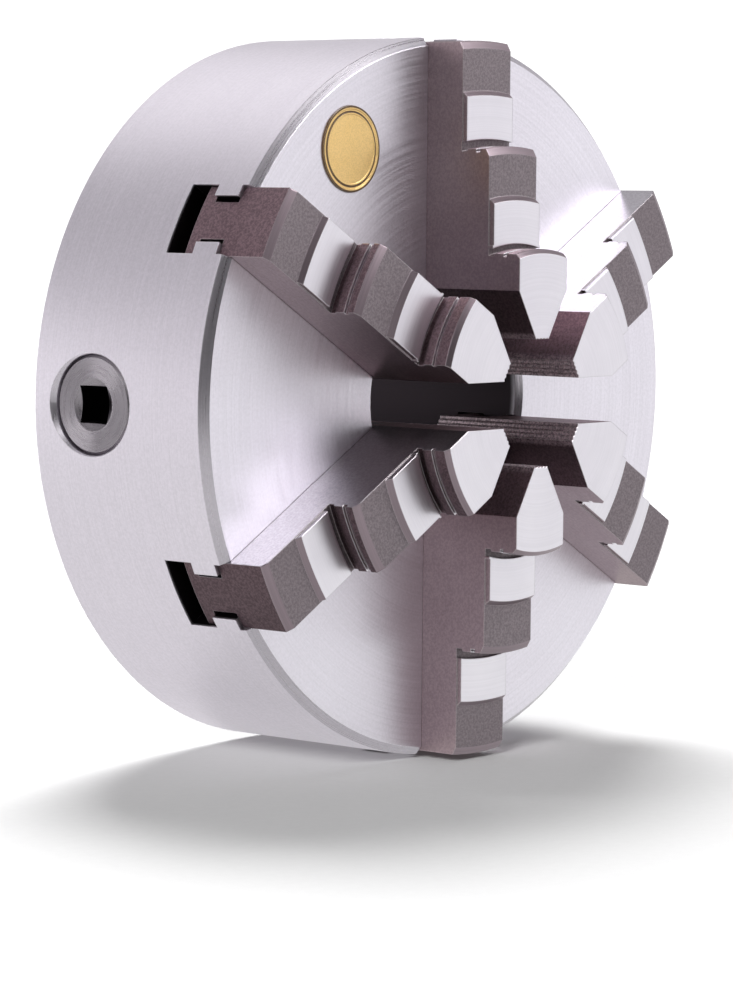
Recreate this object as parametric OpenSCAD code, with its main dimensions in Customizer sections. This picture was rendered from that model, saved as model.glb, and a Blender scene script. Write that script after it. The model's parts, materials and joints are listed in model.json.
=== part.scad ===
// Six-jaw self-centring scroll chuck for a lathe, with one-piece stepped jaws.
// The chuck axis lies along Y and the jaws face -Y. The origin is the centre of the
// rear mounting face. Each part is drawn lying flat: x and y across the chuck and z
// from the rear face towards the jaws. chuck_frame() then stands the axis along Y.

/* [Body] */
// Outside diameter of the body
chuck_d = 250; // [248:1:256]
// Depth of the body from the rear face to the front face
body_depth = 80; // [79:0.5:84]
// Diameter of the through bore
bore_d = 80; // [74:1:81]
// Chamfer where the front face meets the rim
face_chamfer = 2.7; // [1:0.1:4]
// Chamfer where the rear face meets the rim
back_chamfer = 2.5; // [1:0.5:3]
// Chamfer at the front mouth of the through bore
bore_chamfer = 2; // [1:0.5:3]

/* [Rear mounting] */
// Diameter of the rear register recess
register_d = 206; // [205:0.5:207]
// Depth of the rear register recess
register_depth = 5; // [4:0.5:6]
// Pitch circle of the tapped mounting holes
mount_pcd = 226; // [225:1:229]
// Core diameter of the tapped mounting holes
mount_hole_d = 10.2; // [8.5:0.1:10.5]
// Depth of the tapped mounting holes
mount_hole_depth = 26; // [20:1:30]

/* [Jaw slots] */
// Width of the jaw slots
slot_w = 26.1; // [26.1:0.01:26.15]
// Depth of the jaw slots below the front face
slot_depth = 27.5; // [27.5:0.1:28]
// Depth of the outer side of the guide lugs below the front face
lug_top = 5.3; // [5.3:0.1:5.5]
// Depth of the inner side of the guide lugs below the front face
lug_bottom = 15.6; // [15.4:0.1:15.6]
// Gap between the two guide lugs of one slot
lug_gap = 17.6; // [16:0.2:19]

/* [Jaws] */
// Width of each jaw
jaw_w = 26; // [25.9:0.01:26]
// Radius of the gripping tips, as shown
tip_r = 21.8; // [20:0.2:24]
// Width of the gripping tips
tip_w = 6.8; // [6:0.2:7]
// Radius of the outer ends of the jaws, as shown
jaw_end_r = 123.4; // [121:0.2:124]
// Height of the lowest step above the front face
step_1_h = 15.5; // [14:0.5:17]
// Height of the middle step above the front face
step_2_h = 27.4; // [26:0.2:28]
// Height of the jaw noses above the front face
nose_h = 41.1; // [40:0.2:43]
// Radius of the outer gripping step
riser_1_r = 87.3; // [86:0.2:88]
// Radius of the inner gripping step
riser_2_r = 52.5; // [52:0.2:54]

/* [Scroll] */
// Radial distance between two turns of the spiral
scroll_pitch = 10; // [10:0.1:10.1]
// Outside diameter of the scroll plate
scroll_d = 186.4; // [185:0.2:186.4]
// Number of bevel teeth on the back of the scroll plate
gear_teeth = 84; // [84]

/* [Pinions] */
// Diameter of the pinion heads
pinion_head_d = 34; // [32:0.5:34]
// Width across the flats of the square key sockets
socket_w = 12.5; // [11:0.5:13]
// Depth of the key sockets
socket_depth = 22; // [18:1:22]
// Depth of the pinion axes below the front face
pinion_depth = 52; // [52:0.1:52.2]

/* [Badge] */
// Diameter of the round badge on the front face
badge_d = 29; // [24:1:32]

/* [Hidden] */
$fn = 96;
jaw_count = 6;
pinion_count = 3;
screw_count = 6;

// Clearances and small allowances
fit = 0.05;      // running fit, each side
gap = 0.3;       // free space between moving faces
eps = 1;         // overshoot of a cut past the surface that it opens

// Body
body_r = chuck_d / 2;
bore_r = bore_d / 2;
register_r = register_d / 2;
hub_r = 47;
web_z = 59.5;                            // inner side of the front web
chamber_r = scroll_d / 2 + gap;
cover_seat_r = register_r - 1.6;
cover_front_z = 18;
slot_z = body_depth - slot_depth;
jaw_angles = [for (i = [0:jaw_count - 1]) 90 + 60 * i];
pinion_angles = [180, 300, 60];
mount_angles = [0, 120, 240];

// Jaws
foot_z = body_depth - 20.5;              // underside of a jaw
lug_fit = 0.1;                           // guide lug to jaw groove, along the axis
jaw_web_w = 14;
wedge_angle = 30;                        // half angle of the nose
tooth_tip_z = body_depth - 26;
tooth_w = 25;
first_tooth_r = 65;
last_tooth_r = 108;
travel_in = 15;
travel_out = 15;
pad_raise_1 = 1.6;                       // ground pads above their steps
pad_raise_2 = 2;
pad_inset = 0.5;
tread_chamfer = 2.6;
nose_chamfer = 1.5;
serration = 0.45;
serration_count = 4;

// Scroll
groove_w = 5.3;
groove_z = body_depth - 26.5;
scroll_top_z = web_z - gap;
spiral_start_r = 2.5;                    // spiral radius at angle 0, before any whole turn
spiral_step = 5;                         // degrees between points of the spiral
blunt_end = 1;                           // least thickness of the spiral wall at its ends
run_out = 0.12;                          // how near an edge a groove side leaves the spiral
sleeve_r = 54;
sleeve_end_z = 36;
gear_back_z = 41;
gear_outer_r = 84;
gear_inner_r = 69;
tooth_clear = 0.15;                      // jaw tooth to spiral groove, each side

// Bevel gears, measured at gear_outer_r; both cones meet on the chuck axis
module_mm = 2 * gear_outer_r / gear_teeth;
pinion_teeth = 12;
pinion_z = body_depth - pinion_depth;
pinion_pitch_r = module_mm * pinion_teeth / 2;
pressure_angle = 20;
crown_addendum = 1.3;
crown_dedendum = 2.6;
pinion_addendum = 2.2;
pinion_dedendum = 1.9;
backlash = 0.2;

// Pinions along their own axes, from the chuck axis outwards
head_face_r = 123.2;
head_inner_r = 103.6;
retainer_r = 111;
retainer_groove_w = 4.6;
retainer_groove_floor_r = 14;
shank_r = 9;
journal_r = 6;
journal_inner_r = 56.5;
socket_mouth_r = 8.9;

// Cover fasteners
screw_pcr = 96.6;
screw_d = 5;
screw_head_d = 8.5;
screw_head_h = 5;
screw_seat_z = 11;
screw_tip_z = 28;
dowel_d = 5;
dowel_angles = [0, 240];
boss_outer_r = 63;
boss_front_z = 40.6;

// Badge
badge_angle = 122;
badge_centre_r = 101;
badge_recess = 0.8;
badge_t = 1.4;

// Colours
ground_steel = [0.80, 0.79, 0.83];
jaw_steel = [0.60, 0.57, 0.61];
dark_steel = [0.30, 0.29, 0.31];
gold = [0.90, 0.70, 0.30];

// Lays the z axis of a part along -Y
module chuck_frame() {
    rotate([90, 0, 0]) children();
}

// Places a part on a radius, at an angle around the chuck axis
module at_polar(angle, radius) {
    rotate([0, 0, angle]) translate([radius, 0, 0]) children();
}

// Points z along the outward radius at pinion height
module pinion_axis(angle) {
    rotate([0, 0, angle]) translate([0, 0, pinion_z]) rotate([0, 90, 0]) children();
}

// Cross-section of a jaw slot: x across the slot, y along the chuck axis
module slot_section() {
    half = slot_w / 2;
    lug = lug_gap / 2;
    top = body_depth + eps;
    shoulder = body_depth - lug_top;
    floor_z = body_depth - lug_bottom;
    polygon([
        [-half, slot_z], [half, slot_z], [half, floor_z], [lug, floor_z], [lug, shoulder],
        [half, shoulder], [half, top], [-half, top], [-half, shoulder], [-lug, shoulder],
        [-lug, floor_z], [-half, floor_z]
    ]);
}

module body_blank() {
    rotate_extrude()
        polygon([
            [bore_r, register_depth], [hub_r, register_depth], [hub_r, web_z],
            [chamber_r, web_z], [chamber_r, cover_front_z], [cover_seat_r, cover_front_z],
            [cover_seat_r, register_depth], [register_r, register_depth], [register_r, 0],
            [body_r - back_chamfer, 0], [body_r, back_chamfer],
            [body_r, body_depth - face_chamfer], [body_r - face_chamfer, body_depth],
            [bore_r + bore_chamfer, body_depth], [bore_r, body_depth - bore_chamfer]
        ]);
}

// Bore for one pinion head, with its lead-in and the tapped hole of its retainer
module pinion_bore(angle) {
    hole_r = pinion_head_d / 2 + fit;
    lead_in = 1.6;
    pinion_axis(angle) {
        translate([0, 0, chamber_r - eps]) cylinder(r = hole_r, h = body_r - chamber_r + 2 * eps);
        translate([0, 0, body_r - lead_in])
            cylinder(r1 = hole_r, r2 = hole_r + lead_in, h = lead_in + 0.01);
    }
    at_polar(angle, retainer_r)
        translate([0, 0, -eps]) cylinder(d = 8 + 2 * fit, h = pinion_z - hole_r + 2 + eps);
}

module body() {
    color(ground_steel) chuck_frame() difference() {
        body_blank();
        for (a = jaw_angles)
            rotate([0, 0, a]) rotate([90, 0, 90]) linear_extrude(body_r + eps) slot_section();
        for (a = pinion_angles) pinion_bore(a);
        for (a = mount_angles)
            at_polar(a, mount_pcd / 2) translate([0, 0, -eps])
                cylinder(d = mount_hole_d, h = mount_hole_depth + eps);
        for (a = jaw_angles)
            at_polar(a, screw_pcr) translate([0, 0, cover_front_z - eps])
                cylinder(d = screw_d + 2 * fit, h = screw_tip_z - cover_front_z + 3 + eps);
        for (a = dowel_angles)
            at_polar(a, screw_pcr) translate([0, 0, cover_front_z - eps])
                cylinder(d = dowel_d + 2 * fit, h = 11 + eps);
        at_polar(badge_angle, badge_centre_r) translate([0, 0, body_depth - badge_recess])
            cylinder(d = badge_d + 2 * fit, h = badge_recess + eps);
    }
}

// Rear cover: closes the scroll chamber and carries the inner ends of the pinions
module back_plate() {
    seat = cover_seat_r - fit;
    inner = hub_r + fit;
    color(ground_steel) chuck_frame() difference() {
        rotate_extrude()
            polygon([
                [inner, register_depth], [seat, register_depth], [seat, cover_front_z],
                [boss_outer_r, cover_front_z], [boss_outer_r, boss_front_z],
                [sleeve_r + gap, boss_front_z], [sleeve_r + gap, sleeve_end_z - gap],
                [inner, sleeve_end_z - gap]
            ]);
        for (a = pinion_angles) pinion_axis(a) {
            translate([0, 0, journal_inner_r - gap])
                cylinder(r = journal_r + fit, h = boss_outer_r - journal_inner_r + gap + eps);
            translate([0, 0, gear_inner_r])
                cylinder(r = pinion_pitch_r + pinion_addendum + 0.6, h = 40);
        }
        for (a = jaw_angles) at_polar(a, screw_pcr) {
            translate([0, 0, register_depth - eps])
                cylinder(d = screw_head_d + 0.6, h = screw_seat_z - register_depth + eps);
            translate([0, 0, register_depth]) cylinder(d = screw_d + 2 * fit, h = 20);
        }
        for (a = dowel_angles)
            at_polar(a, screw_pcr) translate([0, 0, register_depth - eps])
                cylinder(d = dowel_d + 2 * fit, h = 20);
    }
}

// Radius of one side of the spiral groove at an angle. Where the wall beside it would
// become a thin blade, at the rim or at the bore, the side steps out past the edge.
function groove_side_r(a, side) =
    let (
        r = spiral_start_r + scroll_pitch * a / 360 + side * groove_w / 2,
        rim = scroll_d / 2,
        bore = hub_r + fit,
        rim_margin = side > 0 ? blunt_end : run_out,
        bore_margin = side < 0 ? blunt_end : run_out
    )
    r > rim - rim_margin ? max(r, rim + (2 + side) * eps) :
    r < bore + bore_margin ? min(r, bore - (2 - side) * eps) : r;

// Spiral strip of the scroll groove, from inside the bore to past the rim
module spiral_groove() {
    first = ceil((hub_r - groove_w - spiral_start_r) / scroll_pitch * 360 / spiral_step);
    last = ceil((scroll_d / 2 + groove_w - spiral_start_r) / scroll_pitch * 360 / spiral_step);
    angles = [for (i = [first:last]) i * spiral_step];
    polygon(concat(
        [for (a = angles) groove_side_r(a, 1) * [cos(a), sin(a)]],
        [for (i = [len(angles) - 1:-1:0])
            groove_side_r(angles[i], -1) * [cos(angles[i]), sin(angles[i])]]
    ));
}

// Prism along z whose edges all run to the origin. The outline is its section at
// gear_outer_r, and near and far are the distances of its two ends.
module tapered(outline, near, far) {
    count = len(outline);
    points = [
        for (d = [near, far], p = outline)
            [p[0] * d / gear_outer_r, p[1] * d / gear_outer_r, d]
    ];
    sides = [
        for (i = [0:count - 1])
            let (j = (i + 1) % count)
            [i, count + i, count + j, j]
    ];
    near_end = [for (i = [0:count - 1]) i];
    far_end = [for (i = [count - 1:-1:0]) count + i];
    polyhedron(points, concat([near_end, far_end], sides));
}

// One gap between two teeth on the back of the scroll plate
module crown_gap() {
    root = pinion_pitch_r + crown_dedendum;
    mouth = pinion_pitch_r - crown_addendum - 2;
    half_pitch = PI * module_mm / 4 + backlash / 4;
    function half_w(h) = half_pitch - (h - pinion_pitch_r) * tan(pressure_angle);
    tapered([
        [-mouth, -half_w(mouth)], [-mouth, half_w(mouth)],
        [-root, half_w(root)], [-root, -half_w(root)]
    ], 62, 92);
}

module scroll_plate() {
    inner = hub_r + fit;
    rim = scroll_d / 2;
    tip = pinion_pitch_r - crown_addendum;
    function cone_z(r) = pinion_z + tip * r / gear_outer_r;
    color(jaw_steel) chuck_frame() difference() {
        rotate_extrude()
            polygon([
                [inner, sleeve_end_z], [sleeve_r, sleeve_end_z], [sleeve_r, gear_back_z],
                [gear_inner_r, gear_back_z], [gear_inner_r, cone_z(gear_inner_r)],
                [gear_outer_r, cone_z(gear_outer_r)], [gear_outer_r + 2.5, gear_back_z + 3.5],
                [rim, gear_back_z + 3.5], [rim, scroll_top_z], [inner, scroll_top_z]
            ]);
        translate([0, 0, groove_z]) linear_extrude(scroll_top_z - groove_z + eps) spiral_groove();
        for (i = [0:gear_teeth - 1]) pinion_axis(i * 360 / gear_teeth) crown_gap();
    }
}

// Plan outline of a jaw lying along +x: serrated tip, 60 degree nose and parallel sides
module jaw_plan() {
    half = jaw_w / 2;
    wedge_r = tip_r + (half - tip_w / 2) / tan(wedge_angle);
    tooth = tip_w / serration_count;
    serrations = [
        for (i = [0:serration_count - 1], p = [0, 1])
            [tip_r + p * serration, -tip_w / 2 + (i + p / 2) * tooth]
    ];
    polygon(concat(
        serrations,
        [[tip_r, tip_w / 2], [wedge_r, half], [body_r, half], [body_r, -half], [wedge_r, -half]]
    ));
}

// Turned profile of the jaw tops: radius across, height up the chuck axis
module jaw_turning() {
    step_1 = body_depth + step_1_h;
    step_2 = body_depth + step_2_h;
    nose = body_depth + nose_h;
    pad_1 = step_1 + pad_raise_1;
    pad_2 = step_2 + pad_raise_2;
    r1 = riser_1_r;
    r2 = riser_2_r;
    polygon([
        [0, foot_z], [jaw_end_r, foot_z], [jaw_end_r, step_1 - nose_chamfer],
        [jaw_end_r - tread_chamfer, step_1], [r1 + 19, step_1], [r1 + 17.4, pad_1],
        [r1 + 2.4, pad_1], [r1 + 2.4, pad_1 - 1.8], [r1 - 0.9, pad_1 - 1.8],
        [r1 - 0.9, pad_1 + 0.5], [r1, pad_1 + 0.9], [r1, pad_1 + 4.5], [r1 - 1.2, pad_1 + 4.5],
        [r1 - 1.2, pad_1 + 6.3], [r1, pad_1 + 6.3], [r1, step_2 - nose_chamfer],
        [r1 - tread_chamfer, step_2], [r2 + 18, step_2], [r2 + 16.4, pad_2],
        [r2 + 1.6, pad_2], [r2 + 1.6, pad_2 - 1.8], [r2 - 0.8, pad_2 - 1.8],
        [r2 - 0.8, pad_2 + 0.5], [r2, pad_2 + 0.9], [r2, pad_2 + 4.6], [r2 - 1.1, pad_2 + 4.6],
        [r2 - 1.1, pad_2 + 6], [r2, pad_2 + 6], [r2, nose - nose_chamfer],
        [r2 - nose_chamfer, nose], [0, nose]
    ]);
}

// Outline of one jaw tooth. Each side follows the groove wall at the two ends of the
// jaw's travel and keeps the tighter one, so the tooth is free at every opening.
module jaw_tooth(r) {
    near = r - travel_in;
    far = min(r + travel_out, scroll_d / 2);
    half = groove_w / 2 - tooth_clear;
    steps = 10;
    sides = [for (i = [0:steps]) (i / steps - 0.5) * tooth_w];
    function wall(y, at, offset) =
        sqrt(pow(at + offset, 2) - y * y) - at + scroll_pitch * y / (2 * PI * at);
    translate([r, 0]) polygon(concat(
        [for (y = sides) [min(wall(y, near, half), wall(y, far, half)), y]],
        [for (i = [steps:-1:0])
            [max(wall(sides[i], near, -half), wall(sides[i], far, -half)), sides[i]]]
    ));
}

// Guide grooves along both sides of a jaw, for the lugs of its slot
module jaw_grooves() {
    top = body_depth - lug_top + lug_fit;
    bottom = body_depth - lug_bottom - lug_fit;
    for (side = [0, 1]) mirror([0, side, 0])
        translate([0, jaw_web_w / 2, bottom]) cube([body_r + eps, jaw_w, top - bottom]);
}

// Narrow shoulders along both sides of a ground pad
module pad_shoulders(inner_r, outer_r, z) {
    for (side = [0, 1]) mirror([0, side, 0])
        translate([inner_r, jaw_w / 2 - pad_inset, z]) cube([outer_r - inner_r, jaw_w, 3]);
}

module jaw(index) {
    offset_r = scroll_pitch * (index - 1) / jaw_count;
    color(jaw_steel) chuck_frame() rotate([0, 0, jaw_angles[index - 1]]) {
        difference() {
            intersection() {
                translate([0, 0, foot_z]) linear_extrude(100) jaw_plan();
                rotate_extrude() jaw_turning();
            }
            jaw_grooves();
            pad_shoulders(riser_1_r + 1, riser_1_r + 18.4, body_depth + step_1_h);
            pad_shoulders(riser_2_r + 1, riser_2_r + 17.4, body_depth + step_2_h);
        }
        translate([0, 0, tooth_tip_z]) linear_extrude(foot_z - tooth_tip_z + eps)
            for (r = [first_tooth_r + offset_r:scroll_pitch:last_tooth_r]) jaw_tooth(r);
    }
}

// Point of an involute after rolling through an angle
function involute(base, roll) =
    let (arc = roll * PI / 180)
    base * [cos(roll) + arc * sin(roll), sin(roll) - arc * cos(roll)];

function turned(p, a) = [p[0] * cos(a) - p[1] * sin(a), p[0] * sin(a) + p[1] * cos(a)];

// One flank of a pinion tooth at the large end, from root to tip
function pinion_flank() =
    let (
        base = pinion_pitch_r * cos(pressure_angle),
        tip = pinion_pitch_r + pinion_addendum + 0.2,
        root = pinion_pitch_r - pinion_dedendum,
        roll_tip = sqrt(pow(tip / base, 2) - 1) * 180 / PI,
        roll_pitch = tan(pressure_angle) * 180 / PI,
        half_tooth = 90 / pinion_teeth - backlash / 2 / pinion_pitch_r * 180 / PI,
        shift = half_tooth + roll_pitch - pressure_angle,
        steps = 5
    )
    concat(
        [root * [cos(shift), -sin(shift)]],
        [for (i = [0:steps]) turned(involute(base, roll_tip * i / steps), -shift)]
    );

// One gap between two teeth of a pinion
module pinion_gap() {
    flank = pinion_flank();
    count = len(flank);
    next = [for (p = flank) turned(p, 360 / pinion_teeth)];
    last = count - 1;
    tapered(concat(
        [for (i = [0:last]) [flank[i][0], -flank[i][1]]],
        [[flank[last][0], -flank[last][1]] * 1.3, next[last] * 1.3],
        [for (i = [last:-1:0]) next[i]]
    ), 66, 90);
}

module pinion(index) {
    head_r = pinion_head_d / 2;
    mouth = socket_mouth_r - socket_w / 2;
    edge = 1.2;
    tip_slope = (pinion_pitch_r + pinion_addendum) / gear_outer_r;
    toothed_from = gear_inner_r + 1;
    color(ground_steel) chuck_frame() pinion_axis(pinion_angles[index - 1]) difference() {
        rotate_extrude()
            polygon([
                [0, journal_inner_r], [journal_r, journal_inner_r], [journal_r, toothed_from],
                [tip_slope * toothed_from, toothed_from], [tip_slope * gear_outer_r, gear_outer_r],
                [shank_r, gear_outer_r + 1.5], [shank_r, head_inner_r], [head_r, head_inner_r],
                [head_r, retainer_r - retainer_groove_w / 2],
                [retainer_groove_floor_r, retainer_r - retainer_groove_w / 2],
                [retainer_groove_floor_r, retainer_r + retainer_groove_w / 2],
                [head_r, retainer_r + retainer_groove_w / 2],
                [head_r, head_face_r - edge], [head_r - edge, head_face_r], [0, head_face_r]
            ]);
        for (i = [0:pinion_teeth - 1]) rotate([0, 0, i * 360 / pinion_teeth]) pinion_gap();
        translate([-socket_w / 2, -socket_w / 2, head_face_r - socket_depth])
            cube([socket_w, socket_w, socket_depth + eps]);
        translate([0, 0, head_face_r - mouth / 2])
            cylinder(r1 = socket_w / 2, r2 = socket_mouth_r, h = mouth / 2 + 0.001);
    }
}

// Dog-point set screw that keeps a pinion in its bore
module pinion_retainer(index) {
    dog_z = pinion_z - retainer_groove_floor_r - gap;
    thread_end_z = pinion_z - pinion_head_d / 2 - 2 * gap;
    color(dark_steel) chuck_frame() at_polar(pinion_angles[index - 1], retainer_r) difference() {
        union() {
            translate([0, 0, 1]) cylinder(d = 8, h = thread_end_z - 1);
            cylinder_from(thread_end_z - eps, dog_z, 4);
        }
        hex_socket(1, 4, 4);
    }
}

// Plain round bar between two heights
module cylinder_from(z1, z2, d) {
    translate([0, 0, z1]) cylinder(d = d, h = z2 - z1);
}

// Hexagon key socket sunk upwards from a height
module hex_socket(z, across_flats, depth) {
    translate([0, 0, z - eps]) cylinder(d = across_flats / cos(30), h = depth + eps, $fn = 6);
}

module cover_screw(index) {
    head_z = screw_seat_z - screw_head_h;
    color(dark_steel) chuck_frame() at_polar(jaw_angles[index - 1], screw_pcr) difference() {
        union() {
            cylinder_from(head_z, screw_seat_z, screw_head_d);
            cylinder_from(screw_seat_z - eps, screw_tip_z, screw_d);
        }
        hex_socket(head_z, 4, 2.6);
    }
}

module dowel_pin(index) {
    color(dark_steel) chuck_frame() at_polar(dowel_angles[index - 1], screw_pcr)
        cylinder_from(register_depth + 0.5, cover_front_z + 10, dowel_d);
}

// Blank round badge with a raised border and one inner ring
module badge() {
    r = badge_d / 2;
    base_z = body_depth - badge_recess;
    face_z = base_z + badge_t - 0.3;
    top_z = base_z + badge_t;
    color(gold) chuck_frame() at_polar(badge_angle, badge_centre_r)
        rotate_extrude()
            polygon([
                [0, base_z], [r, base_z], [r, top_z], [r - 1, top_z], [r - 1.2, face_z],
                [r - 2.2, face_z], [r - 2.3, top_z - 0.1], [r - 2.8, top_z - 0.1],
                [r - 2.9, face_z], [0, face_z]
            ]);
}

body();
back_plate();
scroll_plate();
for (i = [1:jaw_count])
    jaw(i);
for (i = [1:pinion_count])
    pinion(i);
for (i = [1:pinion_count])
    pinion_retainer(i);
for (i = [1:screw_count])
    cover_screw(i);
for (i = [1:2])
    dowel_pin(i);
badge();
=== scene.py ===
"""Studio render of a six-jaw scroll chuck. The CAD nodes carry procedural metal materials."""

import json
import math

import bpy
from mathutils import Matrix, Vector

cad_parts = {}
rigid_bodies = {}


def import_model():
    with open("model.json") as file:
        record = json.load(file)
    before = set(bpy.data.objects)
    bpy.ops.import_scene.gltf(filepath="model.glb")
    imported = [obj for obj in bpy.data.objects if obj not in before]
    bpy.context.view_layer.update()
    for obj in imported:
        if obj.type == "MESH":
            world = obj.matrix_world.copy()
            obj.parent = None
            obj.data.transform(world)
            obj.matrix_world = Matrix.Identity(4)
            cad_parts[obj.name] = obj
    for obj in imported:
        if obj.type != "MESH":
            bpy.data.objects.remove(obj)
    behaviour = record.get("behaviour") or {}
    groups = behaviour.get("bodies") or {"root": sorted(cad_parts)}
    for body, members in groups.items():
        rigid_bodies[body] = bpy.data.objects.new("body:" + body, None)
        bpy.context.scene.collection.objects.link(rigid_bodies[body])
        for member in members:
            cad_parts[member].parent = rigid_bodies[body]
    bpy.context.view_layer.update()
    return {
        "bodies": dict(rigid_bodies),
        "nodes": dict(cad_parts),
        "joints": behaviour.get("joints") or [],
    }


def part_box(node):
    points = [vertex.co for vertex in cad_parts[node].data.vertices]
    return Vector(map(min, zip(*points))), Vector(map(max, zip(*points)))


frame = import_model()

# Sizes taken from the frame, in metres
BODY_LOW, BODY_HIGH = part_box("body")
RADIUS = (BODY_HIGH.x - BODY_LOW.x) / 2
FACE_Y = BODY_LOW.y
REAR_Y = BODY_HIGH.y
TIP_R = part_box("jaw_1")[0].z
FACE_CENTRE = Vector((0, FACE_Y, 0))
BADGE_LOW, BADGE_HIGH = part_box("badge")
BADGE_CENTRE = (BADGE_LOW + BADGE_HIGH) / 2
BADGE_R = (BADGE_HIGH.x - BADGE_LOW.x) / 2

# Heights of the jaw steps above the front face, from the part's design
TREAD_HEIGHTS = (0.0155, 0.0274)

# Direction and tilt of the camera, in radians
AZIMUTH = math.radians(-49.53)
ELEVATION = math.radians(4.79)
ROLL = math.radians(0.5)

# Place of the camera, in body radii from the centre of the front face
DISTANCE = 10.378
SHIFT_RIGHT = -0.2264
SHIFT_UP = -0.2871

# Lens and sensor in millimetres, nearest distance in metres
LENS = 133.9
SENSOR = 36.0
NEAR_CLIP = 0.05

# Places where the look of a piece changes, each as the start and end of a soft step, in metres.
# Depths and heights count from the front face of the body.
SKIN_DEPTHS = (0.0006, 0.0045)
SLOT_TOP_DEPTHS = (0.0045, 0.0060)
SLOT_FLOOR_DEPTHS = (0.029, 0.031)
ABOVE_FACE_HEIGHTS = (0.004, 0.010)

# The same, but counted from the front of the scroll plate
GROOVE_DEPTHS = (0.0005, 0.0045)

# The same, as radii around the chuck's axis and around a pinion's own axis
HUB_END_RADII = (0.060, 0.058)
SOCKET_RADII = (0.0115, 0.0095)

# The same, but counted inwards from an edge: the rim, the rear face, the head of a pinion
RIM_SKIN = (0.0016, 0.0042)
RIM_SURFACE = (0.0002, 0.0012)
REAR_SKIN = (0.0008, 0.003)
SOCKET_SKIN = (0.0005, 0.006)

# The same, but counted outwards from the jaw tips
GRIP_END = (0.0025, 0.0010)

# How far a tread may lie from its stated height, how far a pinion's head lies inside the rim, and
# the places of the badge's outline and ring inside its edge, in metres
TREAD_TOLERANCE = 0.0004
HEAD_SINK = 0.0018
OUTLINE_INSET, OUTLINE_HALF_WIDTH = 0.00015, 0.0004
RING_INSET, RING_HALF_WIDTH = 0.0020, 0.00032

# Where most values of a noise lie
SPREAD = (0.3, 0.7)
NARROW_SPREAD = (0.35, 0.65)

AXIS_Y = (0, 1, 0)
WORLD_UP = (0, 0, 1)

# Floor, in metres
FLOOR_HALF = 3.0
FLOOR_GAP = 0.0005
FLOOR_FADE = (0.7, 1.9)

# Tint of the room, the share of its light that matt surfaces get, and the white behind the chuck
ROOM_TINT = (0.985, 0.965, 1.0, 1)
MATT_SHARE = 0.2
BACKDROP_STRENGTH = 1.2

# Lights: name, direction from the centre of the front face, distance and size in metres, power in watts
METAL_LIGHTS = (
    ("top_front", (0.35, -0.60, 0.75), 1.3, 0.7, 12.5),
    ("high_back", (0.15, 0.55, 0.80), 1.5, 1.0, 3.1),
    ("back_left", (-0.52, 0.85, 0.05), 1.5, 0.35, 1.5),
    ("high_left", (-0.90, -0.25, 0.60), 1.4, 0.7, 3),
    ("right_front", (0.86, -0.62, 0.10), 1.6, 1.4, 1.4),
)
FLOOR_LIGHTS = (
    ("floor_back", (0.48, 0.52, 0.90), 4.0, 1.7, 300),
    ("floor_left", (-0.90, -0.35, 0.45), 4.0, 1.3, 170),
)


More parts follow.
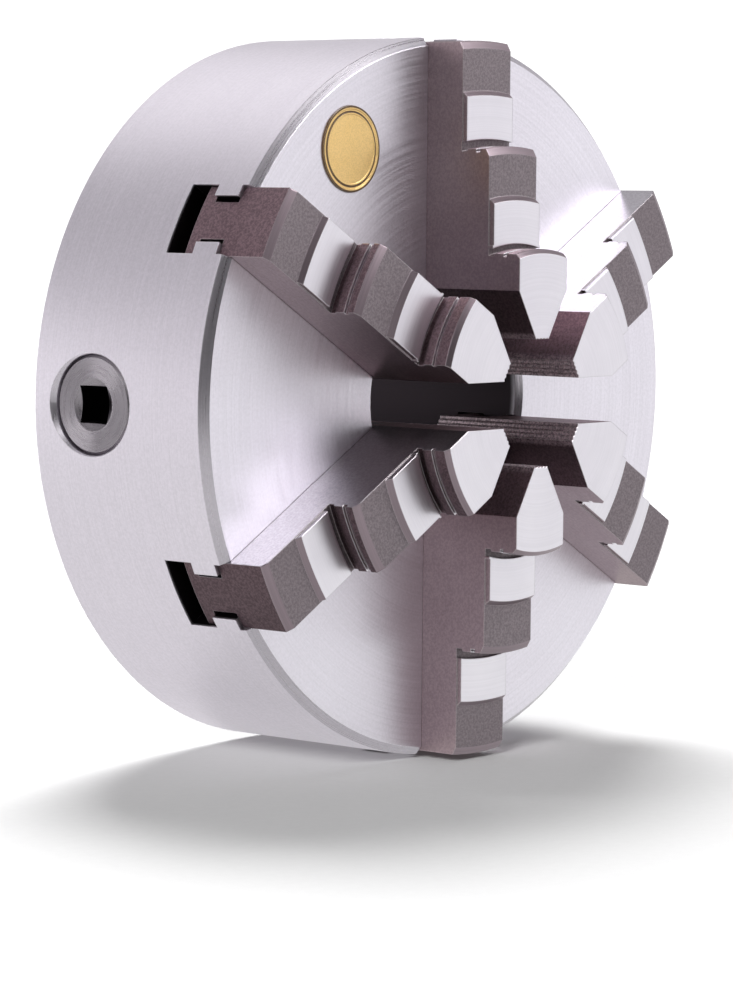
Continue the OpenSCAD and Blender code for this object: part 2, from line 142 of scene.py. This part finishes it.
class Shader:
    """Builds one procedural material from small node helpers. Vectors are in object space."""

    def __init__(self, name):
        self.material = bpy.data.materials.new(name)
        self.material.use_nodes = True
        self.tree = self.material.node_tree
        self.bsdf = self.tree.nodes["Principled BSDF"]
        coordinates = self.tree.nodes.new("ShaderNodeTexCoord")
        self.position = coordinates.outputs["Object"]
        self.normal = coordinates.outputs["Normal"]

    def feed(self, socket, value):
        if isinstance(value, bpy.types.NodeSocket):
            self.tree.links.new(value, socket)
        elif hasattr(value, "__len__") and len(value) == 3 and socket.type == "RGBA":
            socket.default_value = (*value, 1)
        else:
            socket.default_value = value

    def math(self, operation, *values, clamp=False):
        node = self.tree.nodes.new("ShaderNodeMath")
        node.operation = operation
        node.use_clamp = clamp
        for socket, value in zip(node.inputs, values):
            self.feed(socket, value)
        return node.outputs[0]

    def vector(self, operation, *values):
        node = self.tree.nodes.new("ShaderNodeVectorMath")
        node.operation = operation
        for socket, value in zip(node.inputs, values):
            self.feed(socket, value)
        return node.outputs["Value" if operation in ("DOT_PRODUCT", "LENGTH") else "Vector"]

    def combine(self, x, y, z):
        node = self.tree.nodes.new("ShaderNodeCombineXYZ")
        for socket, value in zip(node.inputs, (x, y, z)):
            self.feed(socket, value)
        return node.outputs[0]

    def ramp(self, value, low, high, out_low=0.0, out_high=1.0):
        """Smooth step of a value, from out_low at low to out_high at high."""
        node = self.tree.nodes.new("ShaderNodeMapRange")
        node.interpolation_type = "SMOOTHSTEP"
        for name, item in (("Value", value), ("From Min", low), ("From Max", high),
                           ("To Min", out_low), ("To Max", out_high)):
            self.feed(node.inputs[name], item)
        return node.outputs[0]

    def near(self, value, centre, width):
        """1 where a value lies within width of centre, falling to 0 just outside."""
        distance = self.math("ABSOLUTE", self.math("SUBTRACT", value, centre))
        return self.ramp(distance, width, width * 1.3, 1.0, 0.0)

    def both(self, a, b):
        """Product of two values. For two masks, where both hold."""
        return self.math("MULTIPLY", a, b)

    def outside(self, mask):
        return self.math("SUBTRACT", 1.0, mask)

    def noise(self, vector, scale, detail=3.0, roughness=0.55):
        node = self.tree.nodes.new("ShaderNodeTexNoise")
        self.feed(node.inputs["Vector"], vector)
        node.inputs["Scale"].default_value = scale
        node.inputs["Detail"].default_value = detail
        node.inputs["Roughness"].default_value = roughness
        return node.outputs[0]

    def mix(self, factor, a, b):
        """Colour that goes from a to b."""
        node = self.tree.nodes.new("ShaderNodeMix")
        node.data_type = "RGBA"
        self.feed(node.inputs[0], factor)
        self.feed(node.inputs[6], a)
        self.feed(node.inputs[7], b)
        return node.outputs[2]

    def blend(self, factor, a, b):
        """Number that goes from a to b."""
        node = self.tree.nodes.new("ShaderNodeMix")
        self.feed(node.inputs[0], factor)
        self.feed(node.inputs[2], a)
        self.feed(node.inputs[3], b)
        return node.outputs[0]

    def dim(self, colour, amount):
        """Colour times an amount."""
        return self.vector("MULTIPLY", colour, self.combine(amount, amount, amount))

    def off_axis(self, axis, centre=(0, 0, 0)):
        """The part of the position that is square to an axis through centre."""
        arm = self.vector("SUBTRACT", self.position, centre)
        along = self.vector("DOT_PRODUCT", arm, axis)
        lengthwise = self.vector("MULTIPLY", axis, self.combine(along, along, along))
        return self.vector("SUBTRACT", arm, lengthwise)

    def round_grain(self, axis, centre=(0, 0, 0), pitch=0.0006):
        """Fine tool marks that run round an axis: quick changes along and across it, slow ones around."""
        arm = self.off_axis(axis, centre)
        radius = self.vector("LENGTH", arm)
        along = self.vector("DOT_PRODUCT", self.position, axis)
        direction = self.vector("NORMALIZE", arm)
        slow = self.vector("MULTIPLY", direction, (1.4, 1.4, 1.4))
        quick = self.combine(self.math("DIVIDE", radius, pitch), self.math("DIVIDE", along, pitch), 0.0)
        return self.noise(self.vector("ADD", slow, quick), 1.0, 4.0, 0.65)

    def round_tangent(self, axis, centre=(0, 0, 0)):
        """Direction around an axis, in world space, for the stretched highlights of turned metal."""
        around = self.vector("NORMALIZE", self.vector("CROSS_PRODUCT", axis, self.off_axis(axis, centre)))
        node = self.tree.nodes.new("ShaderNodeVectorTransform")
        node.vector_type = "VECTOR"
        node.convert_from = "OBJECT"
        node.convert_to = "WORLD"
        self.feed(node.inputs[0], around)
        return node.outputs[0]

    def edge_mask(self, radius=0.0006):
        """A rounded normal, and a mask that is 1 along sharp edges, where the true normal differs from it."""
        bevel = self.tree.nodes.new("ShaderNodeBevel")
        bevel.samples = 6
        bevel.inputs["Radius"].default_value = radius
        geometry = self.tree.nodes.new("ShaderNodeNewGeometry")
        likeness = self.vector("DOT_PRODUCT", bevel.outputs[0], geometry.outputs["Normal"])
        return bevel.outputs[0], self.ramp(likeness, 0.98, 0.80, 0.0, 1.0)

    def bump(self, height, distance, strength, normal=None):
        node = self.tree.nodes.new("ShaderNodeBump")
        node.inputs["Strength"].default_value = strength
        node.inputs["Distance"].default_value = distance
        self.feed(node.inputs["Height"], height)
        if normal is not None:
            self.feed(node.inputs["Normal"], normal)
        return node.outputs[0]

    def finish(self, colour, roughness, normal, metallic=1.0, anisotropy=0.0, tangent=None):
        self.feed(self.bsdf.inputs["Base Color"], colour)
        self.feed(self.bsdf.inputs["Roughness"], roughness)
        self.feed(self.bsdf.inputs["Normal"], normal)
        self.feed(self.bsdf.inputs["Metallic"], metallic)
        self.bsdf.inputs["Anisotropic"].default_value = anisotropy
        if tangent is not None:
            self.feed(self.bsdf.inputs["Tangent"], tangent)
        return self.material


def inward(edge, steps):
    """Start and end of a soft step that is counted inwards from an edge."""
    return [edge - step for step in steps]


def body_steel():
    """Ground front face, finely turned rim, smoother chamfers painted darker as shade, and cavities painted
    near black as shade.
    """
    s = Shader("body_steel")
    radius = s.vector("LENGTH", s.off_axis(AXIS_Y))
    depth = s.math("SUBTRACT", s.vector("DOT_PRODUCT", s.position, AXIS_Y), FACE_Y)
    facing = s.math("ABSOLUTE", s.vector("DOT_PRODUCT", s.normal, AXIS_Y))
    face = s.ramp(facing, 0.80, 0.97)
    grain = s.round_grain(AXIS_Y)
    speckle = s.noise(s.position, 900.0, 2.0, 0.7)
    cloud = s.noise(s.position, 22.0, 3.0)

    below_skin = s.ramp(depth, *SKIN_DEPTHS)
    inside = s.both(below_skin, s.ramp(radius, *inward(RADIUS, RIM_SKIN)))
    slot_depths = s.both(s.ramp(depth, *SLOT_TOP_DEPTHS), s.ramp(depth, *SLOT_FLOOR_DEPTHS, 1.0, 0.0))
    slot_wall = s.both(slot_depths, s.ramp(radius, *inward(RADIUS, RIM_SURFACE)))
    inside = s.math("MAXIMUM", inside, slot_wall)
    above_rear = s.ramp(depth, *inward(REAR_Y - FACE_Y, REAR_SKIN))
    looks_back = s.ramp(s.vector("DOT_PRODUCT", s.normal, AXIS_Y), 0.85, 0.97)
    hub_end = s.both(looks_back, s.ramp(radius, *HUB_END_RADII))
    # Hollows of the body that are painted near black as shade
    painted_shade_cavity = s.both(s.both(inside, above_rear), s.outside(hub_end))

    rim_colour = s.mix(cloud, (0.72, 0.68, 0.74), (0.79, 0.75, 0.81))
    face_colour = s.mix(cloud, (0.79, 0.76, 0.82), (0.87, 0.85, 0.91))
    chamfer = s.both(s.ramp(facing, 0.25, 0.45), s.outside(s.ramp(facing, 0.90, 0.97)))
    steel = s.mix(face, rim_colour, face_colour)
    # Painted shade: the chamfers are coloured darker than the face and the rim
    steel = s.dim(steel, s.ramp(chamfer, 0.0, 1.0, 1.0, 0.74))
    steel = s.dim(steel, s.ramp(grain, 0.25, 0.75, 0.93, 1.03))
    steel = s.dim(steel, s.ramp(speckle, *SPREAD, 0.95, 1.03))
    # Painted shade: the bore, the slot walls and other hollows are coloured near black
    colour = s.mix(painted_shade_cavity, steel, (0.028, 0.022, 0.026))
    rounded, edge = s.edge_mask(radius=0.0005)
    colour = s.mix(s.both(edge, 0.22), colour, (0.86, 0.84, 0.88))

    roughness = s.blend(chamfer, s.blend(face, 0.46, 0.38), 0.30)
    roughness = s.math("ADD", roughness, s.ramp(grain, *SPREAD, -0.05, 0.06))
    roughness = s.blend(painted_shade_cavity, roughness, 0.5)
    height = s.math("ADD", grain, s.both(speckle, s.blend(face, 0.8, 0.2)))
    return s.finish(colour, roughness, s.bump(height, 0.00001, 0.25, rounded),
                    anisotropy=0.15, tangent=s.round_tangent(AXIS_Y))


def rear_cover_steel():
    """Turned plate with clear concentric tool marks."""
    s = Shader("rear_cover_steel")
    grain = s.round_grain(AXIS_Y, pitch=0.0011)
    cloud = s.noise(s.position, 18.0, 3.0)
    colour = s.mix(cloud, (0.50, 0.48, 0.50), (0.62, 0.60, 0.62))
    colour = s.dim(colour, s.ramp(grain, *SPREAD, 0.82, 1.06))
    rounded, edge = s.edge_mask()
    colour = s.mix(s.both(edge, 0.6), colour, (0.80, 0.79, 0.82))
    return s.finish(colour, s.ramp(grain, *SPREAD, 0.30, 0.44), s.bump(grain, 0.00008, 0.5, rounded),
                    anisotropy=0.45, tangent=s.round_tangent(AXIS_Y))


def scroll_steel():
    """Machined scroll plate, painted darker as shade deeper in its groove and between its teeth."""
    s = Shader("scroll_steel")
    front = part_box("scroll_plate")[0].y
    depth = s.math("SUBTRACT", s.vector("DOT_PRODUCT", s.position, AXIS_Y), front)
    grain = s.round_grain(AXIS_Y, pitch=0.0008)
    stain = s.noise(s.position, 60.0, 4.0)
    # Painted shade: the colour darkens with depth into the groove
    colour = s.mix(s.ramp(depth, *GROOVE_DEPTHS), (0.42, 0.39, 0.40), (0.14, 0.12, 0.12))
    colour = s.dim(colour, s.ramp(stain, *SPREAD, 0.75, 1.10))
    rounded, edge = s.edge_mask()
    colour = s.mix(s.both(edge, 0.7), colour, (0.66, 0.64, 0.66))
    return s.finish(colour, s.ramp(grain, *SPREAD, 0.28, 0.42), s.bump(grain, 0.00005, 0.4, rounded),
                    anisotropy=0.3, tangent=s.round_tangent(AXIS_Y))


def jaw_steel(name, outward):
    """Hardened jaw: brown-grey flanks, ends and slopes, matt treads, bright pads, and a lighter grip speckled
    with painted highlights.

    To match the photo, surfaces that look up are painted lighter and more neutral and those that look down
    are painted darker: painted light and shade.
    """
    s = Shader(name + "_steel")
    across = (-outward.z, 0, outward.x)
    height = s.math("SUBTRACT", FACE_Y, s.vector("DOT_PRODUCT", s.position, AXIS_Y))
    reach = s.vector("DOT_PRODUCT", s.position, tuple(outward))
    up = s.math("MULTIPLY", s.vector("DOT_PRODUCT", s.normal, AXIS_Y), -1.0)
    side = s.math("ABSOLUTE", s.vector("DOT_PRODUCT", s.normal, across))
    out = s.vector("DOT_PRODUCT", s.normal, tuple(outward))

    flat = s.ramp(up, 0.93, 0.985)
    slope = s.both(s.ramp(up, 0.35, 0.55), s.outside(flat))
    treads = s.both(flat, s.math("ADD", *[s.near(height, h, TREAD_TOLERANCE) for h in TREAD_HEIGHTS]))
    above_face = s.ramp(height, *ABOVE_FACE_HEIGHTS)
    bright = s.both(s.math("SUBTRACT", flat, treads, clamp=True), above_face)
    slope = s.both(slope, above_face)

    speckle = s.noise(s.position, 1100.0, 2.0, 0.8)
    cloud = s.noise(s.position, 45.0, 4.0)
    strokes = s.noise(s.combine(s.both(reach, 60.0), s.both(height, 2600.0), 0.0), 1.0, 3.0, 0.6)
    arcs = s.round_grain(AXIS_Y, pitch=0.0005)

    # Painted light and shade: ends and flanks are coloured lighter where they face up and darker where they
    # face down
    up_facing_painted_light = s.vector("DOT_PRODUCT", s.normal, WORLD_UP)
    dark = s.mix(cloud, (0.140, 0.092, 0.105), (0.190, 0.132, 0.148))
    dark = s.dim(dark, s.ramp(up_facing_painted_light, -0.6, 0.6, 0.70, 1.60))
    flank = s.mix(cloud, (0.380, 0.285, 0.306), (0.475, 0.372, 0.394))
    flank = s.dim(flank, s.ramp(up_facing_painted_light, -0.9, 0.0, 0.75, 1.0))
    # Painted reflection: flanks that face up turn a light neutral grey
    flank = s.mix(s.ramp(up_facing_painted_light, 0.2, 0.8), flank, (0.33, 0.31, 0.34))
    dark = s.dim(dark, s.ramp(speckle, *NARROW_SPREAD, 0.72, 1.25))
    flank = s.dim(flank, s.ramp(speckle, *NARROW_SPREAD, 0.88, 1.10))
    base = s.mix(s.ramp(side, 0.9, 0.97), dark, flank)
    inner_side = s.ramp(out, -0.35, -0.60)
    # Partly painted highlight: the grip near the tips has a lighter brown with bright speckles for the glints
    # on its serrations
    grip = s.both(inner_side, s.ramp(reach, *[TIP_R + step for step in GRIP_END]))
    base = s.mix(grip, base, s.dim((0.52, 0.42, 0.45), s.ramp(speckle, *NARROW_SPREAD, 0.55, 1.45)))
    tread = s.mix(cloud, (0.205, 0.175, 0.188), (0.245, 0.212, 0.226))
    tread = s.dim(tread, s.ramp(speckle, *NARROW_SPREAD, 0.80, 1.2))
    ground = s.mix(cloud, (0.74, 0.72, 0.77), (0.86, 0.84, 0.88))
    ground = s.dim(ground, s.ramp(arcs, *SPREAD, 0.965, 1.02))
    colour = s.mix(treads, base, tread)
    sloped = s.dim((0.29, 0.235, 0.260), s.ramp(arcs, *SPREAD, 0.92, 1.05))
    colour = s.mix(slope, colour, sloped)
    colour = s.mix(bright, colour, ground)
    rounded, edge = s.edge_mask(radius=0.0006)
    colour = s.mix(s.both(edge, 0.55), colour, (0.62, 0.58, 0.60))

    roughness = s.blend(s.ramp(side, 0.9, 0.97), 0.50, s.ramp(strokes, *SPREAD, 0.28, 0.42))
    roughness = s.blend(treads, roughness, 0.55)
    roughness = s.blend(slope, roughness, 0.34)
    roughness = s.blend(bright, roughness, s.ramp(arcs, *SPREAD, 0.28, 0.34))
    relief = s.math("ADD", s.both(speckle, s.blend(bright, 0.6, 0.1)), s.both(strokes, 0.4))
    return s.finish(colour, roughness, s.bump(relief, 0.00003, 0.35, rounded))


def pinion_steel(name, outward):
    """Turned pinion: the highlights of its head stretch across the turning marks."""
    s = Shader(name + "_steel")
    low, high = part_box(name)
    axis = tuple(outward)
    centre = tuple((low + high) / 2)
    reach = s.vector("DOT_PRODUCT", s.position, axis)
    radius = s.vector("LENGTH", s.off_axis(axis, centre))
    grain = s.round_grain(axis, centre, pitch=0.0007)
    head_face = RADIUS - HEAD_SINK
    painted_shade_socket = s.both(s.ramp(reach, *inward(head_face, SOCKET_SKIN)), s.ramp(radius, *SOCKET_RADII))
    colour = s.dim((0.32, 0.295, 0.32), s.ramp(grain, *SPREAD, 0.86, 1.06))
    # Painted shade: the inside of the key socket is coloured darker
    colour = s.mix(painted_shade_socket, colour, (0.16, 0.15, 0.17))
    rounded, edge = s.edge_mask(radius=0.0004)
    colour = s.mix(s.both(edge, 0.5), colour, (0.85, 0.83, 0.86))
    roughness = s.blend(painted_shade_socket, s.ramp(grain, *SPREAD, 0.24, 0.32), 0.6)
    return s.finish(colour, roughness, s.bump(grain, 0.00004, 0.35, rounded),
                    anisotropy=0.92, tangent=s.round_tangent(axis, centre))


def black_oxide(name, axis, centre):
    """Blackened fastener, rubbed bright on its edges."""
    s = Shader(name + "_finish")
    mottle = s.noise(s.position, 700.0, 3.0)
    grain = s.round_grain(axis, centre, pitch=0.0004)
    colour = s.mix(mottle, (0.045, 0.042, 0.046), (0.10, 0.095, 0.10))
    rounded, edge = s.edge_mask(radius=0.0003)
    colour = s.mix(s.both(edge, 0.7), colour, (0.42, 0.40, 0.42))
    relief = s.math("ADD", s.both(mottle, 0.5), grain)
    return s.finish(colour, s.ramp(mottle, *SPREAD, 0.34, 0.50), s.bump(relief, 0.00003, 0.3, rounded))


def badge_gold():
    """Satin brass field with a darkened outline and one inner ring, and no marks."""
    s = Shader("badge_gold")
    centre = tuple(BADGE_CENTRE)
    radius = s.vector("LENGTH", s.off_axis(AXIS_Y, centre))
    cloud = s.noise(s.position, 120.0, 3.0)
    fine = s.noise(s.position, 2200.0, 2.0, 0.7)
    gold = s.mix(cloud, (0.86, 0.58, 0.22), (0.95, 0.69, 0.31))
    gold = s.dim(gold, s.ramp(fine, *NARROW_SPREAD, 0.90, 1.06))
    outline = s.near(radius, BADGE_R - OUTLINE_INSET, OUTLINE_HALF_WIDTH)
    inner_ring = s.near(radius, BADGE_R - RING_INSET, RING_HALF_WIDTH)
    rings = s.math("ADD", outline, inner_ring)
    colour = s.mix(rings, gold, (0.10, 0.055, 0.025))
    rounded, edge = s.edge_mask(radius=0.0002)
    colour = s.mix(s.both(edge, 0.4), colour, (0.95, 0.78, 0.45))
    return s.finish(colour, s.ramp(cloud, *SPREAD, 0.30, 0.42), s.bump(fine, 0.00002, 0.3, rounded),
                    metallic=s.blend(rings, 0.85, 0.2))


def dress(node, material):
    """Gives a CAD node its one finished material."""
    slots = frame["nodes"][node].data.materials
    slots.clear()
    slots.append(material)


def outward_of(body):
    """Radial direction of a jaw or pinion, from its joint's axis."""
    joint = next(j for j in frame["joints"] if j["child"] == body)
    return Vector(joint["axis"])


def dress_chuck():
    dress("body", body_steel())
    dress("back_plate", rear_cover_steel())
    dress("scroll_plate", scroll_steel())
    dress("badge", badge_gold())
    for name in sorted(frame["nodes"]):
        if name.startswith("jaw_"):
            dress(name, jaw_steel(name, outward_of(name)))
        elif name in frame["bodies"] and name.startswith("pinion_"):
            dress(name, pinion_steel(name, outward_of(name)))
        elif name.startswith(("pinion_retainer_", "cover_screw_", "dowel_pin_")):
            low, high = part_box(name)
            dress(name, black_oxide(name, AXIS_Y, tuple((low + high) / 2)))


def make_floor():
    """Large pale floor just under the rim. Far out it fades into the white of the studio.

    In reflections it is dark paper that shines evenly, so the metal does not show its shadows.
    """
    mesh = bpy.data.meshes.new("floor")
    corners = [(-1, -1), (1, -1), (1, 1), (-1, 1)]
    mesh.from_pydata([(x * FLOOR_HALF, y * FLOOR_HALF, 0) for x, y in corners], [], [(0, 1, 2, 3)])
    floor = bpy.data.objects.new("floor", mesh)
    floor.location.z = BODY_LOW.z - FLOOR_GAP
    bpy.context.scene.collection.objects.link(floor)
    s = Shader("floor_paper")
    fibre = s.noise(s.position, 260.0, 4.0)
    colour = s.mix(fibre, (0.60, 0.60, 0.60), (0.64, 0.64, 0.64))
    path = s.tree.nodes.new("ShaderNodeLightPath")
    reflected = path.outputs["Is Glossy Ray"]
    colour = s.dim(colour, s.ramp(reflected, 0.0, 1.0, 1.0, 0.25))
    s.bsdf.inputs["Emission Color"].default_value = (1, 1, 1, 1)
    s.feed(s.bsdf.inputs["Emission Strength"], s.ramp(reflected, 0.0, 1.0, 0.02, 0.60))
    s.feed(s.bsdf.inputs["Alpha"], s.ramp(s.vector("LENGTH", s.position), *FLOOR_FADE, 1.0, 0.0))
    mesh.materials.append(s.finish(colour, 0.9, s.bump(fibre, 0.0001, 0.05), metallic=0.0))


def make_world():
    """Studio that the camera sees as white. The metal sees a room, dark on one side and dimmer overhead."""
    world = bpy.data.worlds.new("studio")
    bpy.context.scene.world = world
    world.use_nodes = True
    tree = world.node_tree
    tree.nodes.clear()
    nodes, links = tree.nodes, tree.links
    coordinates = nodes.new("ShaderNodeTexCoord")

    def fade(direction, start, end, low, high):
        """Strength that goes smoothly from low to high as the view turns towards a direction."""
        towards = nodes.new("ShaderNodeVectorMath")
        towards.operation = "DOT_PRODUCT"
        towards.inputs[1].default_value = Vector(direction).normalized()
        links.new(coordinates.outputs["Generated"], towards.inputs[0])
        shade = nodes.new("ShaderNodeMapRange")
        shade.interpolation_type = "SMOOTHSTEP"
        for name, value in (("From Min", start), ("From Max", end), ("To Min", low), ("To Max", high)):
            shade.inputs[name].default_value = value
        links.new(towards.outputs["Value"], shade.inputs["Value"])
        return shade.outputs[0]

    strength = nodes.new("ShaderNodeMath")
    strength.operation = "MULTIPLY"
    links.new(fade((-0.76, -0.64, 0.05), 0.35, 0.95, 0.72, 0.08), strength.inputs[0])
    links.new(fade((0, 0, 1), 0.1, 0.9, 1.0, 0.5), strength.inputs[1])
    path = nodes.new("ShaderNodeLightPath")
    matt_share = nodes.new("ShaderNodeMapRange")
    matt_share.inputs["To Min"].default_value = 1.0
    matt_share.inputs["To Max"].default_value = MATT_SHARE
    links.new(path.outputs["Is Diffuse Ray"], matt_share.inputs["Value"])
    share = nodes.new("ShaderNodeMath")
    share.operation = "MULTIPLY"
    links.new(strength.outputs[0], share.inputs[0])
    links.new(matt_share.outputs[0], share.inputs[1])
    room = nodes.new("ShaderNodeBackground")
    room.inputs["Color"].default_value = ROOM_TINT
    links.new(share.outputs[0], room.inputs["Strength"])
    paper = nodes.new("ShaderNodeBackground")
    paper.inputs["Strength"].default_value = BACKDROP_STRENGTH
    paper.inputs["Color"].default_value = (1, 1, 1, 1)
    pick = nodes.new("ShaderNodeMixShader")
    output = nodes.new("ShaderNodeOutputWorld")
    links.new(path.outputs["Is Camera Ray"], pick.inputs[0])
    links.new(room.outputs[0], pick.inputs[1])
    links.new(paper.outputs[0], pick.inputs[2])
    links.new(pick.outputs[0], output.inputs["Surface"])


def make_softbox(name, direction, distance, size, power, metal):
    """Square area light turned towards the chuck. It shows in the metal only, or lights matt things only."""
    light = bpy.data.lights.new(name, "AREA")
    light.shape = "SQUARE"
    light.size = size
    light.energy = power
    lamp = bpy.data.objects.new(name, light)
    aim = Vector(direction).normalized()
    lamp.location = FACE_CENTRE + aim * distance
    lamp.rotation_euler = aim.to_track_quat("Z", "Y").to_euler()
    lamp.visible_camera = False
    lamp.visible_glossy = metal
    lamp.visible_diffuse = not metal
    bpy.context.scene.collection.objects.link(lamp)


def make_lights():
    for light in METAL_LIGHTS:
        make_softbox(*light, metal=True)
    for light in FLOOR_LIGHTS:
        make_softbox(*light, metal=False)


def make_camera():
    """Camera at the studio angle, given in body radii around the centre of the front face."""
    level = math.cos(ELEVATION)
    back = Vector((math.sin(AZIMUTH) * level, -math.cos(AZIMUTH) * level, math.sin(ELEVATION)))
    right = Vector((math.cos(AZIMUTH), math.sin(AZIMUTH), 0))
    up = back.cross(right)
    place = FACE_CENTRE + RADIUS * (DISTANCE * back + SHIFT_RIGHT * right + SHIFT_UP * up)
    turned_right = right * math.cos(ROLL) + up * math.sin(ROLL)
    turned_up = up * math.cos(ROLL) - right * math.sin(ROLL)
    data = bpy.data.cameras.new("camera")
    data.lens = LENS
    data.sensor_width = SENSOR
    data.clip_start = NEAR_CLIP
    camera = bpy.data.objects.new("camera", data)
    axes = Matrix((turned_right, turned_up, back)).transposed().to_4x4()
    camera.matrix_world = Matrix.Translation(place) @ axes
    bpy.context.scene.collection.objects.link(camera)
    bpy.context.scene.camera = camera


dress_chuck()
make_floor()
make_world()
make_lights()
make_camera()
bpy.context.scene.view_settings.view_transform = "Standard"
